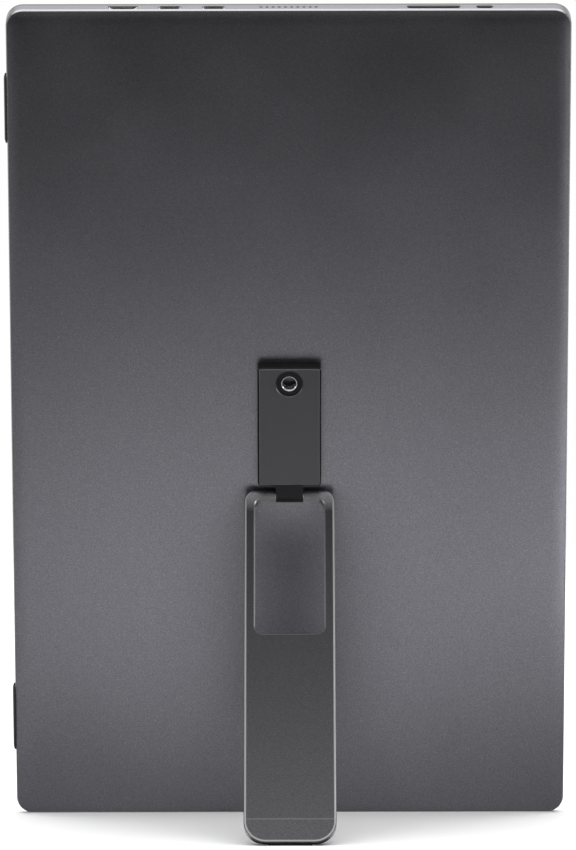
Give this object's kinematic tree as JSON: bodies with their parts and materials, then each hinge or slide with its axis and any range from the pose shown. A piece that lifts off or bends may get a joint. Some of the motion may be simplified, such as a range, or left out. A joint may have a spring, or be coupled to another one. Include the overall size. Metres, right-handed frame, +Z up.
{
  "type": "portable monitor",
  "caption": "Slim portable monitor standing in portrait on a fold-out leg, whose plate swivels on the back and carries a tripod thread; dark metal back, sockets and keys in the top edge.",
  "frame": {"origin": "on the ground, at the middle of the rectangle that the standing monitor covers", "axes": "+Z up; the back, with its plate and leg, faces -Y and leans back over the leg; the glass faces +Y; +X is to the right of a viewer who faces the back"},
  "size_m": [0.2312, 0.16, 0.3395],
  "materials": {
    "back_metal": "bead blasted, dark grey anodised",
    "frame_plastic": "fine matt black",
    "screen_glass": "smooth dark cover sheet",
    "picture_cell": "dark laminated cell",
    "light_tray": "pale diffuser in a tray",
    "board_green": "solder mask",
    "ribbon": "flexible film",
    "bright_steel": "plated",
    "speaker_black": "moulded",
    "key_black": "satin black",
    "strip_rubber": "matt black",
    "pivot_steel": "zinc plated",
    "washer_black": "low friction plastic",
    "plate_metal": "fine matt black",
    "bush_steel": "bright",
    "sleeve_bronze": "bearing metal",
    "leg_metal": "bead blasted, dark grey anodised, bright cut edges"
  },
  "bodies": {
    "panel": {"rear_cover": "back_metal", "front_frame": "frame_plastic", "cover_glass": "screen_glass", "picture_cell": "picture_cell", "backlight": "light_tray", "driver_board": "board_green", "display_ribbon": "ribbon", "main_board": "board_green", "board_shield": "bright_steel", "board_screws": "bright_steel", "mini_video_socket": "bright_steel", "type_c_socket_1": "bright_steel", "type_c_socket_2": "bright_steel", "speaker_upper": "speaker_black", "speaker_lower": "speaker_black", "key_board": "board_green", "foot_strip_upper": "strip_rubber", "foot_strip_lower": "strip_rubber", "pivot_bracket": "pivot_steel", "bracket_screws": "bright_steel", "friction_washer": "washer_black"},
    "swivel": {"stand_plate": "plate_metal", "pivot_shaft": "pivot_steel", "spring_washers": "pivot_steel", "pivot_nut": "pivot_steel", "tripod_bush": "bush_steel", "friction_sleeves": "sleeve_bronze"},
    "leg": {"leg": "leg_metal", "hinge_pin": "pivot_steel", "leg_tip_pad": "strip_rubber"},
    "volume_key": {"volume_key": "key_black"},
    "power_key": {"power_key": "key_black"}
  },
  "joints": [
    {"name": "plate_swivel", "type": "hinge", "parent": "panel", "child": "swivel", "pos_m": [0.00057, 0.01464, 0.16815], "axis": [0, 0.9463, 0.3234], "range_deg": [0, 90]},
    {"name": "leg_hinge", "type": "hinge", "parent": "swivel", "child": "leg", "pos_m": [0.00057, 0.02222, 0.13608], "axis": [1, 0, 0], "range_deg": [-124, 26]},
    {"name": "volume_rock", "type": "hinge", "parent": "panel", "child": "volume_key", "pos_m": [0.05958, -0.03763, 0.3338], "axis": [0, 0.9463, 0.3234], "range_deg": [-1.5, 1.5], "stiffness_Nm_per_rad": 0.3},
    {"name": "power_press", "type": "slide", "parent": "panel", "child": "power_key", "axis": [0, 0.3234, -0.9463], "range_m": [0, 0.00035], "stiffness_N_per_m": 3000}
  ]
}
